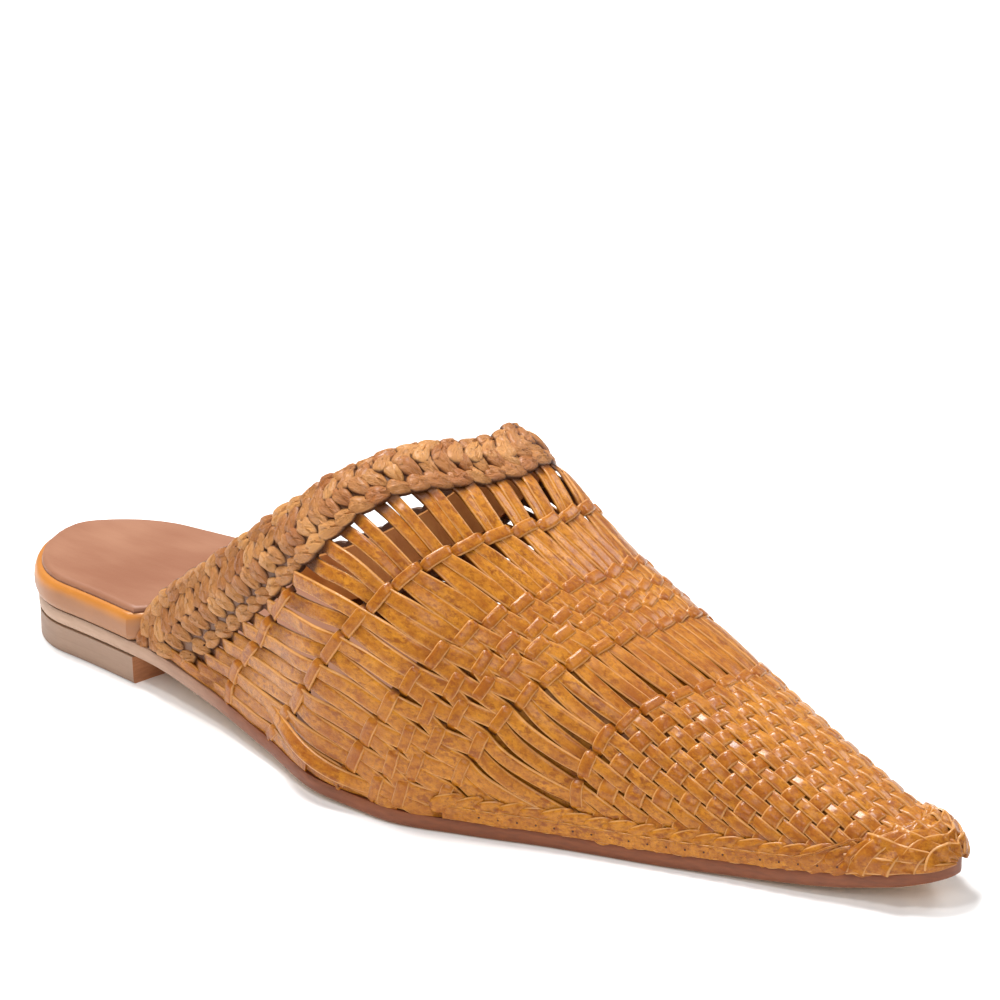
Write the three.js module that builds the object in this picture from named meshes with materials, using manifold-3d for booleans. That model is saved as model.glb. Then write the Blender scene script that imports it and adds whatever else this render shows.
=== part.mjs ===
// A woven leather mule for the right foot: flat heel, pointed toe, open back.
// +X runs from heel to toe, -Y is the outer side of the foot, +Z is up, the floor is Z = 0.
import * as THREE from 'three';
import { mergeVertices } from 'three/addons/utils/BufferGeometryUtils.js';
import Module from 'manifold-3d';

const wasm = await Module();
wasm.setup();

// Driving sizes, in millimetres
const SHOE_LENGTH = 269.5;
const BALL_WIDTH = 81;
const THROAT_HEIGHT = 84;
const HEEL_HEIGHT = 7.4;
const SOLE_THICKNESS = 3.6;
const FOOTBED_THICKNESS = 7.2;
const FOREPART_THICKNESS = 2.8;
const SOCK_THICKNESS = 1.2;
const WALL = 1.5;
const STRIP_RAISE = 0.7;
const BRAID_THICKNESS = 4;
const BRAID_OUTSIDE = 1.2;
const RAND_THICKNESS = 1.3;
const RAND_HEIGHT = 5.5;
const RIM_OVERHANG = 0.8;
const GAP = 0.3;

// Ends of the outline: how far the rounding of heel and toe reaches along the shoe
const HEEL_ROUNDING = 22;
const HEEL_OVERHANG = 1;
const TOE_ROUNDING = 12;
const TOE_TOP_ROUNDING = 7;
const TOE_OVERHANG = 1.5;
const LAST_OVERHANG = 2.4;
const TIP_SIDE = 2;

// The weave: long strips lie in pairs, cross rows are counted from the braid to the toe
const PAIRS = 23;
const LAST_ROW = 18;

// The last, one line for each section. at: share of the length. outer, inner and ridge: shares of
// the ball width, from the middle line. top: share of the throat height. round: 1 is an ellipse,
// lower is boxier.
const SECTIONS = [
  { at: 0.00, outer: 0.315, inner: 0.205, ridge: 0.02, top: 0.60, round: 0.55 },
  { at: 0.08, outer: 0.325, inner: 0.245, ridge: 0.02, top: 0.64, round: 0.55 },
  { at: 0.18, outer: 0.360, inner: 0.280, ridge: 0.02, top: 0.70, round: 0.55 },
  { at: 0.28, outer: 0.420, inner: 0.245, ridge: 0.03, top: 0.81, round: 0.56 },
  { at: 0.37, outer: 0.508, inner: 0.225, ridge: 0.04, top: 0.92, round: 0.61 },
  { at: 0.465, outer: 0.604, inner: 0.263, ridge: 0.045, top: 1.00, round: 0.68 },
  { at: 0.523, outer: 0.602, inner: 0.318, ridge: 0.06, top: 0.885, round: 0.70 },
  { at: 0.603, outer: 0.522, inner: 0.360, ridge: 0.06, top: 0.685, round: 0.76 },
  { at: 0.67, outer: 0.435, inner: 0.379, ridge: 0.06, top: 0.562, round: 0.80 },
  { at: 0.75, outer: 0.348, inner: 0.346, ridge: 0.055, top: 0.445, round: 0.83 },
  { at: 0.82, outer: 0.274, inner: 0.279, ridge: 0.05, top: 0.36, round: 0.85 },
  { at: 0.90, outer: 0.194, inner: 0.202, ridge: 0.045, top: 0.265, round: 0.85 },
  { at: 0.95, outer: 0.130, inner: 0.148, ridge: 0.04, top: 0.212, round: 0.85 },
  { at: 1.00, outer: 0.080, inner: 0.110, ridge: 0.04, top: 0.177, round: 0.85 },
];

// Underside of the sole, from the heel seat over the arch to the toe spring.
// lift: share of the heel height.
const ARCH = [
  { at: 0.00, lift: 1.00 },
  { at: 0.19, lift: 1.00 },
  { at: 0.28, lift: 0.70 },
  { at: 0.39, lift: 0.34 },
  { at: 0.50, lift: 0.08 },
  { at: 0.57, lift: 0.00 },
  { at: 0.75, lift: 0.00 },
  { at: 0.82, lift: 0.09 },
  { at: 0.91, lift: 0.33 },
  { at: 0.96, lift: 0.62 },
  { at: 1.00, lift: 0.98 },
];

// Cross rows of the weave. side and top: where the row meets the sole and the ridge, as shares of
// the length. bow: how early the row climbs between them. Row -1 is the topline, row 0 the front of
// the braid.
const ROWS = [
  { row: -1, side: 0.178, top: 0.497, bow: 1.60 },
  { row: 0, side: 0.243, top: 0.532, bow: 0.97 },
  { row: 1, side: 0.376, top: 0.574, bow: 0.78 },
  { row: 2, side: 0.480, top: 0.627, bow: 0.85 },
  { row: 6, side: 0.578, top: 0.686, bow: 0.95 },
  { row: 7, side: 0.692, top: 0.762, bow: 2.00 },
  { row: 18, side: 0.970, top: 0.974, bow: 1.00 },
  { row: 19, side: 0.990, top: 0.990, bow: 1.00 },
];

// Places along the shoe, as shares of its length: where the open rim ends, where the braid's foot
// begins and ends, and where the rand begins
const RIM_END = 0.15;
const BRAID_START = 0.172;
const BRAID_END = 0.25;
const RAND_START = 0.585;

// Top edge of the rand. high: its height, as a share of the height along the sides.
const RAND_EDGE = [
  { at: 0.50, high: 1.0 },
  { at: 0.84, high: 1.0 },
  { at: 0.90, high: 1.7 },
  { at: 0.935, high: 2.1 },
  { at: 0.97, high: 2.0 },
  { at: 1.02, high: 1.7 },
];

// Round section of the braid. across: from its rear edge to its front edge. out: from its inside
// to its outside. row: which of the three rows of knots the point lies on, if any.
const BRAID_SECTION = [
  { across: 0.50, out: 0.00, row: null },
  { across: 1.00, out: 0.50, row: null },
  { across: 0.90, out: 1.00, row: 0 },
  { across: 0.66, out: 0.85, row: null },
  { across: 0.50, out: 1.00, row: 1 },
  { across: 0.32, out: 0.85, row: null },
  { across: 0.14, out: 1.00, row: 0 },
  { across: 0.00, out: 0.50, row: null },
];

const clamp = THREE.MathUtils.clamp;
const mix = THREE.MathUtils.lerp;

// A smooth curve through one column of a table, without overshoot between its rows
function follow(table, key, column, place) {
  const last = table.length - 2;
  let i = table.findIndex((line) => line[key] > place) - 1;
  if (i < 0) i = place < table[0][key] ? 0 : last;
  const slope = (k) => (table[k + 1][column] - table[k][column]) / (table[k + 1][key] - table[k][key]);
  const tangent = (k) => {
    if (k === 0) return slope(0);
    if (k === last + 1) return slope(last);
    const before = slope(k - 1);
    const after = slope(k);
    return before * after <= 0 ? 0 : (2 * before * after) / (before + after);
  };
  const width = table[i + 1][key] - table[i][key];
  const t = clamp((place - table[i][key]) / width, 0, 1);
  const rest = 1 - t;
  return table[i][column] * (1 + 2 * t) * rest * rest
    + tangent(i) * width * t * rest * rest
    + table[i + 1][column] * t * t * (3 - 2 * t)
    - tangent(i + 1) * width * t * t * rest;
}

// Quarter of an ellipse: 0 at the very end, 1 from the rounding's reach on
function roundedEnd(distance, reach) {
  const k = clamp(distance / reach, 0, 1);
  return Math.sqrt(k * (2 - k));
}

// Half widths of the plan outline at a place along the shoe, grown outwards by a few millimetres.
// The toe closes on a tip a little to the inner side of the middle line.
function outline(x, grow) {
  const at = x / SHOE_LENGTH;
  const heel = roundedEnd(x + HEEL_OVERHANG + grow, HEEL_ROUNDING);
  const toe = roundedEnd(SHOE_LENGTH - TOE_OVERHANG + grow - x, TOE_ROUNDING);
  const half = (side) => (follow(SECTIONS, 'at', side, at) * BALL_WIDTH + grow) * heel;
  return {
    outer: mix(-TIP_SIDE, half('outer'), toe),
    inner: mix(TIP_SIDE, half('inner'), toe),
  };
}

function soleBottom(x) {
  return follow(ARCH, 'at', 'lift', x / SHOE_LENGTH) * HEEL_HEIGHT;
}

// Where upper, braid and footbed stand on the sole
function soleTop(x) {
  return soleBottom(x) + SOLE_THICKNESS + GAP;
}

const SECTION_STEPS = 48;
const UPPER_INSET = 1;

// Points of the last's section at x, from the outer side over the ridge to the inner side
function lastSection(x, grow) {
  const at = x / SHOE_LENGTH;
  const column = (name) => follow(SECTIONS, 'at', name, at);
  const side = grow - UPPER_INSET;
  const toToe = SHOE_LENGTH - LAST_OVERHANG + grow - x;
  const toe = roundedEnd(toToe, TOE_ROUNDING);
  const ridge = mix(TIP_SIDE, column('ridge') * BALL_WIDTH, toe);
  const outer = mix(-TIP_SIDE, column('outer') * BALL_WIDTH + side, toe) + ridge;
  const inner = mix(TIP_SIDE, column('inner') * BALL_WIDTH + side, toe) - ridge;
  const foot = soleTop(x);
  const height = (column('top') * THROAT_HEIGHT + side - foot) * roundedEnd(toToe, TOE_TOP_ROUNDING);
  const points = [];
  for (let i = 0; i <= SECTION_STEPS; i += 1) {
    const angle = (Math.PI * i) / SECTION_STEPS;
    const across = Math.cos(angle);
    const reach = Math.abs(across) ** column('round');
    const y = across > 0 ? ridge - reach * outer : ridge + reach * inner;
    const z = foot + height * Math.max(Math.sin(angle), 0) ** column('round');
    points.push(new THREE.Vector3(x, y, z));
  }
  return points;
}

// Point on the last at x and at a share of the girth, 0 at the outer side and 1 at the inner
function onLast(x, share, grow) {
  const points = lastSection(x, grow);
  const lengths = [0];
  for (let i = 1; i < points.length; i += 1) {
    lengths.push(lengths[i - 1] + points[i].distanceTo(points[i - 1]));
  }
  const wanted = clamp(share, 0, 1) * lengths[lengths.length - 1];
  const next = clamp(lengths.findIndex((length) => length >= wanted), 1, points.length - 1);
  const part = (wanted - lengths[next - 1]) / (lengths[next] - lengths[next - 1]);
  return points[next - 1].clone().lerp(points[next], part);
}

// Place along the shoe of a cross row at a share of the girth. The rows peak past the middle.
const PEAK_SHIFT = 1.2;

function rowPlace(row, share) {
  const side = follow(ROWS, 'row', 'side', row);
  const top = follow(ROWS, 'row', 'top', row);
  const climb = Math.sin(Math.PI * share ** PEAK_SHIFT) ** follow(ROWS, 'row', 'bow', row);
  return (side + (top - side) * (share >= 1 ? 0 : climb)) * SHOE_LENGTH;
}

// Past the last row the form also grows forwards, so that walls keep their thickness at the tip
function onUpper(row, share, grow) {
  return onLast(rowPlace(row, share) + grow * clamp(row - LAST_ROW, 0, 1), share, grow);
}

// A closed body from rings of points, with both ends filled
function loft(rings) {
  const count = rings[0].length;
  const corners = rings.flat();
  const faces = [];
  for (let r = 0; r + 1 < rings.length; r += 1) {
    for (let i = 0; i < count; i += 1) {
      const a = r * count + i;
      const b = r * count + ((i + 1) % count);
      faces.push([a, b, b + count], [a, b + count, a + count]);
    }
  }
  const endRing = (rings.length - 1) * count;
  for (let i = 1; i + 1 < count; i += 1) {
    faces.push([0, i + 1, i], [endRing, endRing + i, endRing + i + 1]);
  }
  return body(corners, faces);
}

// Faces with the same corner twice are dropped, and the body is turned so that it faces outwards
function body(corners, faces) {
  const positions = faces.flat().flatMap((index) => corners[index].toArray());
  let geometry = new THREE.BufferGeometry();
  geometry.setAttribute('position', new THREE.Float32BufferAttribute(positions, 3));
  geometry = mergeVertices(geometry, 1e-4);
  const index = Array.from(geometry.index.array);
  const kept = [];
  for (let i = 0; i < index.length; i += 3) {
    const [a, b, c] = index.slice(i, i + 3);
    if (a !== b && b !== c && c !== a) kept.push(a, b, c);
  }
  const place = (i) => new THREE.Vector3().fromBufferAttribute(geometry.attributes.position, i);
  let volume = 0;
  for (let i = 0; i < kept.length; i += 3) {
    volume += place(kept[i]).dot(place(kept[i + 1]).cross(place(kept[i + 2])));
  }
  if (volume < 0) kept.reverse();
  geometry.setIndex(kept);
  return geometry;
}

function solid(geometry) {
  return new wasm.Manifold(new wasm.Mesh({
    numProp: 3,
    vertProperties: new Float32Array(geometry.attributes.position.array),
    triVerts: new Uint32Array(geometry.index.array),
  }));
}

function geometryOf(manifold) {
  const mesh = manifold.getMesh();
  const geometry = new THREE.BufferGeometry();
  geometry.setAttribute('position', new THREE.Float32BufferAttribute(mesh.vertProperties, 3));
  geometry.setIndex(Array.from(mesh.triVerts));
  return geometry;
}

// The largest body of a cut, without the slivers that a cut can leave beside it
function largest(manifold) {
  return manifold.decompose().reduce((most, piece) => (piece.volume() > most.volume() ? piece : most));
}

function named(name, geometry, color, roughness) {
  geometry.computeVertexNormals();
  const material = new THREE.MeshStandardMaterial({ color, roughness, metalness: 0, flatShading: true });
  const mesh = new THREE.Mesh(geometry, material);
  mesh.name = name;
  return mesh;
}

function evenly(from, to, steps) {
  return Array.from({ length: steps + 1 }, (_, i) => mix(from, to, i / steps));
}

// Stations from one place to another, closer together at the ends, which are rounded
const CROWDING = [0.6, 0.2];

function stations(from, to, steps) {
  return evenly(0, 1, steps).map((t) => {
    const turn = 2 * Math.PI * t;
    const moved = (CROWDING[0] * Math.sin(turn) + CROWDING[1] * Math.sin(2 * turn)) / (2 * Math.PI);
    return mix(from, to, t - moved);
  });
}

// Heel block: the outline under the heel seat, cut square to the heel at its front
const BREAST = 51;
const HEEL_TURN = THREE.MathUtils.degToRad(9);
const HEEL_INSET = 0.2;
const HEEL_TAPER = 0.3;
const END_STEP = 0.1;
const BEYOND_BREAST = 8;

function heelBlock() {
  const back = HEEL_INSET + END_STEP - HEEL_OVERHANG;
  const rings = stations(back, BREAST + BEYOND_BREAST, 16).map((x) => {
    const top = outline(x, -HEEL_INSET);
    const bottom = outline(x, -HEEL_INSET - HEEL_TAPER * clamp((x - back) / HEEL_ROUNDING, 0, 1));
    return [
      new THREE.Vector3(x, -top.outer, HEEL_HEIGHT - GAP),
      new THREE.Vector3(x, -bottom.outer, 0),
      new THREE.Vector3(x, bottom.inner, 0),
      new THREE.Vector3(x, top.inner, HEEL_HEIGHT - GAP),
    ];
  });
  const block = solid(loft(rings));
  const middle = new THREE.Vector3(BREAST, 0, 0);
  const forward = new THREE.Vector3(Math.cos(HEEL_TURN), -Math.sin(HEEL_TURN), 0);
  return geometryOf(block.trimByPlane(forward.clone().negate().toArray(), -forward.dot(middle)));
}

// Outsole: one leather from heel to toe, its lower edge slightly rounded
const SOLE_EDGE = 0.6;
const EDGE_FADE = 10;

function outsole() {
  const back = END_STEP - HEEL_OVERHANG;
  const tip = SHOE_LENGTH - TOE_OVERHANG - END_STEP;
  const rings = stations(back, tip, 34).map((x) => {
    const wide = outline(x, 0);
    const low = outline(x, -SOLE_EDGE * Math.min(1, (x - back) / EDGE_FADE, (tip - x) / EDGE_FADE));
    const z = soleBottom(x);
    return [
      new THREE.Vector3(x, -wide.outer, z + SOLE_THICKNESS),
      new THREE.Vector3(x, -wide.outer, z + SOLE_EDGE),
      new THREE.Vector3(x, -low.outer, z),
      new THREE.Vector3(x, low.inner, z),
      new THREE.Vector3(x, wide.inner, z + SOLE_EDGE),
      new THREE.Vector3(x, wide.inner, z + SOLE_THICKNESS),
    ];
  });
  return loft(rings);
}

// Footbed: a wrapped board with a round rim at the open heel, narrower inside the upper
const FOOTBED_END = 0.955 * SHOE_LENGTH;
const RIM_ROUND = 1.3;
const RIM_ROUND_HEIGHT = 0.3;
const FOOTBED_CLEARANCE = 1.3;
const INSIDE_WALL_LENGTH = 0.03;
const step = THREE.MathUtils.smoothstep;

// How far the footbed's edge stands out from the sole's outline: over it at the open heel, and
// inside braid and wall further on
function footbedEdge(x) {
  const at = x / SHOE_LENGTH;
  const insideWall = -UPPER_INSET - WALL - FOOTBED_CLEARANCE;
  const insideBraid = -UPPER_INSET + BRAID_OUTSIDE - BRAID_THICKNESS - FOOTBED_CLEARANCE;
  const open = mix(RIM_OVERHANG, insideBraid, step(at, RIM_END, BRAID_START));
  return mix(open, insideWall, step(at, BRAID_END, BRAID_END + INSIDE_WALL_LENGTH));
}

// It is thick under the heel and thins out towards the forepart
const TAPER_START = 0.2;
const TAPER_END = 0.55;

function footbedTop(x) {
  const share = step(x / SHOE_LENGTH, TAPER_START, TAPER_END);
  return soleTop(x) + mix(FOOTBED_THICKNESS, FOREPART_THICKNESS, share);
}

function footbed() {
  const back = END_STEP - HEEL_OVERHANG - RIM_OVERHANG;
  const rings = stations(back, FOOTBED_END, 32).map((x) => {
    const out = footbedEdge(x);
    const wide = outline(x, out);
    const flat = outline(x, out - RIM_ROUND * clamp((x - back) / EDGE_FADE, 0, 1));
    const low = soleTop(x);
    const high = footbedTop(x);
    return [
      new THREE.Vector3(x, -flat.outer, low),
      new THREE.Vector3(x, flat.inner, low),
      new THREE.Vector3(x, wide.inner, mix(low, high, RIM_ROUND_HEIGHT)),
      new THREE.Vector3(x, wide.inner, mix(low, high, 1 - RIM_ROUND_HEIGHT)),
      new THREE.Vector3(x, flat.inner, high),
      new THREE.Vector3(x, -flat.outer, high),
      new THREE.Vector3(x, -wide.outer, mix(low, high, 1 - RIM_ROUND_HEIGHT)),
      new THREE.Vector3(x, -wide.outer, mix(low, high, RIM_ROUND_HEIGHT)),
    ];
  });
  return loft(rings);
}

// Sock lining: a thin leather on the footbed, a little dished under the foot
const SOCK_INSET = 1.6;
const SOCK_DISH = 0.4;
const SOCK_BEVEL = 0.5;

function sockLining() {
  const back = SOCK_INSET + SOCK_BEVEL + END_STEP - HEEL_OVERHANG - RIM_OVERHANG;
  const rings = stations(back, FOOTBED_END - SOCK_INSET, 32).map((x) => {
    const out = footbedEdge(x) - SOCK_INSET;
    const wide = outline(x, out);
    const bevel = outline(x, out - SOCK_BEVEL);
    const low = footbedTop(x) + GAP;
    const high = low + SOCK_THICKNESS;
    const middle = (wide.inner - wide.outer) / 2;
    return [
      new THREE.Vector3(x, -wide.outer, low),
      new THREE.Vector3(x, wide.inner, low),
      new THREE.Vector3(x, bevel.inner, high),
      new THREE.Vector3(x, middle, high - SOCK_DISH),
      new THREE.Vector3(x, -bevel.outer, high),
    ];
  });
  return loft(rings);
}

// A solid under a grid on the last: the grid itself, a flat underside and a back across the opening
function filledForm(rows, shares, grow) {
  const count = shares.length;
  const corners = rows.flatMap((row) => shares.map((share) => onUpper(row, share, grow(row, share))));
  const faces = [];
  for (let r = 0; r + 1 < rows.length; r += 1) {
    for (let i = 0; i + 1 < count; i += 1) {
      const a = r * count + i;
      faces.push([a, a + count, a + count + 1], [a, a + count + 1, a + 1]);
    }
    const side = r * count;
    const other = side + count - 1;
    faces.push([side, other, other + count], [side, other + count, side + count]);
  }
  for (let i = 0; i < (count - 1) / 2; i += 1) {
    const j = count - 1 - i;
    faces.push([i, i + 1, j - 1], [i, j - 1, j]);
  }
  const end = (rows.length - 1) * count;
  for (let i = 0; i < (count - 1) / 2; i += 1) {
    const j = count - 1 - i;
    faces.push([end + i, end + j - 1, end + i + 1], [end + i, end + j, end + j - 1]);
  }
  return body(corners, faces);
}

// The form drawn out downwards, so that a cut with it leaves nothing underneath
function drawnDown(form, steps) {
  const depths = evenly(0, -SOLE_THICKNESS, steps);
  return wasm.Manifold.union(depths.map((depth) => form.translate([0, 0, depth])));
}

// Relief of the weave at a grid corner, with three corners for each pair of strips: the groove
// before it and the crests of its two strips. Cross rows pass over one pair and under the next.
const PAIR_CORNERS = 3;

function weaveRelief(row, share) {
  const corner = Math.round(share * PAIRS * PAIR_CORNERS);
  const pair = Math.floor(corner / PAIR_CORNERS);
  const onRow = Number.isInteger(row) && row >= 1 && row <= LAST_ROW;
  const crossOver = onRow && (pair + row) % 2 === 0;
  return crossOver || corner % PAIR_CORNERS !== 0 ? STRIP_RAISE : 0;
}

// Slits where pairs of strips part and one sees through. from and to: pairs from the outer side.
const SLITS = [
  { row: 0.12, until: 0.85, from: 4, to: 7, width: 1.2 },
  { row: 0.12, until: 0.85, from: 7, to: 13, width: 2.9 },
  { row: 0.12, until: 0.85, from: 13, to: 19, width: 2.0 },
  { row: 1.15, until: 1.85, from: 5, to: 18, width: 0.8 },
];
const CUT_MARGIN = 2;
const SHARE_STEP = 0.01;

function slitCutters() {
  const cutters = [];
  for (const slit of SLITS) {
    for (let pair = slit.from; pair < slit.to; pair += 1) {
      const share = pair / PAIRS;
      const rings = [slit.row, slit.until].map((row) => {
        const x = rowPlace(row, share);
        const girth = onLast(x, share, 0).distanceTo(onLast(x, share + SHARE_STEP, 0)) / SHARE_STEP;
        const half = slit.width / 2 / girth;
        return [
          onLast(x, share - half, CUT_MARGIN),
          onLast(x, share + half, CUT_MARGIN),
          onLast(x, share + half, -WALL - CUT_MARGIN),
          onLast(x, share - half, -WALL - CUT_MARGIN),
        ];
      });
      cutters.push(solid(loft(rings)));
    }
  }
  return cutters;
}

// The place of the braid, a little longer than the braid, which the wall leaves free
function braidPlace() {
  const rings = evenly(0, 1, 48).map((share) => {
    const corner = (row, grow) => onLast(rowPlace(row, share) - row * GAP / 2, share, grow);
    return [corner(-1, 3), corner(0, 3), corner(0, -BRAID_THICKNESS), corner(-1, -BRAID_THICKNESS)];
  });
  return solid(loft(rings));
}

// Upper: the woven vamp, a hollow wall with raised strips, open at the back and underneath
const FORE_ROWS = [6, 6.15, 6.85, ...evenly(7, LAST_ROW + 1, LAST_ROW - 6)];

function upper() {
  const rows = [-0.4, 0.5, 0.85, 1, 1.15, 1.85, 2, 3, 4, 5, ...FORE_ROWS];
  const outside = filledForm(rows, evenly(0, 1, PAIRS * PAIR_CORNERS), weaveRelief);
  const insideRows = [-0.8, ...evenly(0, 5.5, 12), ...FORE_ROWS];
  const inside = solid(filledForm(insideRows, evenly(0, 1, 20), () => -WALL));
  const cut = wasm.Manifold.union([drawnDown(inside, 1), braidPlace(), ...slitCutters()]);
  return geometryOf(largest(solid(outside).subtract(cut)));
}

// Topline braid: three rows of knots along the edge of the opening, half a knot apart
const KNOT_PITCH = 5.2;
const KNOT_DEPTH = 0.7;
const BRAID_SAMPLES = 160;

function braidShares() {
  const middle = evenly(0, 1, BRAID_SAMPLES).map((share) => onUpper(-0.5, share, 0));
  const lengths = [0];
  for (let i = 1; i < middle.length; i += 1) {
    lengths.push(lengths[i - 1] + middle[i].distanceTo(middle[i - 1]));
  }
  const total = lengths[BRAID_SAMPLES];
  const steps = 2 * Math.round(total / KNOT_PITCH);
  return evenly(0, total, steps).map((wanted) => {
    const next = clamp(lengths.findIndex((length) => length >= wanted), 1, BRAID_SAMPLES);
    const part = (wanted - lengths[next - 1]) / (lengths[next] - lengths[next - 1]);
    return (next - 1 + clamp(part, 0, 1)) / BRAID_SAMPLES;
  });
}

function toplineBraid() {
  const rings = braidShares().map((share, i) => BRAID_SECTION.map((point) => {
    const sunk = point.row !== null && (i + point.row) % 2 === 1 ? KNOT_DEPTH : 0;
    const grow = BRAID_OUTSIDE + (point.out - 1) * BRAID_THICKNESS - sunk;
    return onLast(rowPlace(point.across - 1, share) - 1.5 * GAP * point.across, share, grow);
  }));
  return loft(rings);
}

// Toe rand: a thin band along the sole's edge, cut between two larger forms of the upper
const RAND_CLEARANCE = 0.45;
const BEYOND_TOE = 1.02;

function toeRand() {
  const rows = [4, 5, ...FORE_ROWS];
  const side = [0, 0.03, 0.06, 0.09, 0.13, 0.17, 0.22, 0.28, 0.36];
  const shares = [...side, 0.5, ...side.map((share) => 1 - share).reverse()];
  const inside = STRIP_RAISE + RAND_CLEARANCE;
  const outer = solid(filledForm(rows, shares, () => inside + RAND_THICKNESS));
  const inner = solid(filledForm(rows, shares, () => inside));
  const shape = new THREE.Shape();
  shape.moveTo(RAND_START * SHOE_LENGTH, 0);
  for (const at of evenly(RAND_START, BEYOND_TOE, 14)) {
    const x = at * SHOE_LENGTH;
    shape.lineTo(x, soleTop(x) + RAND_HEIGHT * follow(RAND_EDGE, 'at', 'high', at));
  }
  shape.lineTo(BEYOND_TOE * SHOE_LENGTH, 0);
  const slab = new THREE.ExtrudeGeometry(shape, { depth: 2 * BALL_WIDTH, bevelEnabled: false });
  slab.rotateX(Math.PI / 2);
  slab.translate(0, BALL_WIDTH, 0);
  slab.deleteAttribute('normal');
  slab.deleteAttribute('uv');
  const band = outer.subtract(drawnDown(inner, 3));
  return geometryOf(largest(band.intersect(solid(mergeVertices(slab)))));
}

const group = new THREE.Group();
group.add(
  named('heel_block', heelBlock(), 0xaa8f7e, 0.7),
  named('outsole', outsole(), 0xb98a6c, 0.6),
  named('footbed', footbed(), 0xdc963c, 0.55),
  named('sock_lining', sockLining(), 0xc88c6e, 0.7),
  named('upper', upper(), 0xcd8c4b, 0.45),
  named('topline_braid', toplineBraid(), 0xc8965f, 0.7),
  named('toe_rand', toeRand(), 0xc38245, 0.5),
);

// The origin is on the floor, under the middle of the shoe
const extent = new THREE.Box3().setFromObject(group);
const centre = extent.getCenter(new THREE.Vector3());
group.position.set(-centre.x, -centre.y, -extent.min.z);
group.updateMatrixWorld(true);

export default group;
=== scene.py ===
import math

import bpy
import numpy as np
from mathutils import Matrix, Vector


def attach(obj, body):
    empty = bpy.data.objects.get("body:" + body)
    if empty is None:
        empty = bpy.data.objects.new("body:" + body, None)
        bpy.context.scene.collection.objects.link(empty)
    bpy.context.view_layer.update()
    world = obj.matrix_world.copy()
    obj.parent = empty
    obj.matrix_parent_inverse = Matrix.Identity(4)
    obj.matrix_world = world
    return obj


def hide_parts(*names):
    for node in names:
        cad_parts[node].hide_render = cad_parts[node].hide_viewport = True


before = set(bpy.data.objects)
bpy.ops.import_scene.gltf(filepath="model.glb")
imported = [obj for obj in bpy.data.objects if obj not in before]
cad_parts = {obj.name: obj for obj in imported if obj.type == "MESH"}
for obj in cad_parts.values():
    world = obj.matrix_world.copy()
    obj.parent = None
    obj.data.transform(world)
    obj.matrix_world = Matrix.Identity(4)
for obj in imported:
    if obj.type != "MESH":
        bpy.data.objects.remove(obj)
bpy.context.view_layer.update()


# Heel block: low stack of leather lifts under the heel seat, its side edge sanded and waxed taupe,
# cut square at the front, where the raw cut is stained brown.
HEEL_BACK, BREAST, HEEL_TURN, HEEL_INSET, HEEL_TAPER = -0.65, 51.0, math.radians(9), 0.2, 0.3

# The outline that heel and sole are cut to, in millimetres: heel at x = 0, tip at the right, outer
# side at negative y. Its sections are shares of length, ball width and throat height. ORIGIN is the
# place of the shoe's own frame in it.
LENGTH, BALL, HEEL_HEIGHT, GAP = 269.5, 81.0, 7.4, 0.3
HEEL_ROUNDING, HEEL_OVERHANG, TOE_ROUNDING, TOE_OVERHANG, TIP_SIDE = 22.0, 1.0, 12.0, 1.5, 2.0
ORIGIN = np.array([133.778, -8.407, 0.0])

SECTION_NAMES = ("at", "outer", "inner", "ridge", "top", "round")
SECTIONS = (
    (0.00, 0.315, 0.205, 0.020, 0.60, 0.55),
    (0.08, 0.325, 0.245, 0.020, 0.64, 0.55),
    (0.18, 0.360, 0.280, 0.020, 0.70, 0.55),
    (0.28, 0.420, 0.245, 0.030, 0.81, 0.56),
    (0.37, 0.508, 0.225, 0.040, 0.92, 0.61),
    (0.465, 0.604, 0.263, 0.045, 1.00, 0.68),
    (0.523, 0.602, 0.318, 0.060, 0.885, 0.70),
    (0.603, 0.522, 0.360, 0.060, 0.685, 0.76),
    (0.67, 0.435, 0.379, 0.060, 0.562, 0.80),
    (0.75, 0.348, 0.346, 0.055, 0.445, 0.83),
    (0.82, 0.274, 0.279, 0.050, 0.36, 0.85),
    (0.90, 0.194, 0.202, 0.045, 0.265, 0.85),
    (0.95, 0.130, 0.148, 0.040, 0.212, 0.85),
    (1.00, 0.080, 0.110, 0.040, 0.177, 0.85),
)


def follow(table, names, column, place):
    """Smooth curve through one column of a table, without overshoot."""
    key = np.array([line[0] for line in table])
    value = np.array([line[names.index(column)] for line in table])
    slope = np.diff(value) / np.diff(key)
    tangent = np.concatenate([slope[:1], np.zeros(len(slope) - 1), slope[-1:]])
    same = slope[:-1] * slope[1:] > 0
    total = np.where(same, slope[:-1] + slope[1:], 1)
    tangent[1:-1] = np.where(same, 2 * slope[:-1] * slope[1:] / total, 0)
    place = np.asarray(place, float)
    i = np.clip(np.searchsorted(key, place, "right") - 1, 0, len(key) - 2)
    width = key[i + 1] - key[i]
    t = np.clip((place - key[i]) / width, 0, 1)
    rest = 1 - t
    return (value[i] * (1 + 2 * t) * rest**2 + tangent[i] * width * t * rest**2
            + value[i + 1] * t**2 * (3 - 2 * t) - tangent[i + 1] * width * t**2 * rest)


def rounded_end(distance, reach):
    """Quarter round, 0 at the end and 1 from reach on."""
    k = np.clip(np.asarray(distance, float) / reach, 0, 1)
    return np.sqrt(k * (2 - k))


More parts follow.
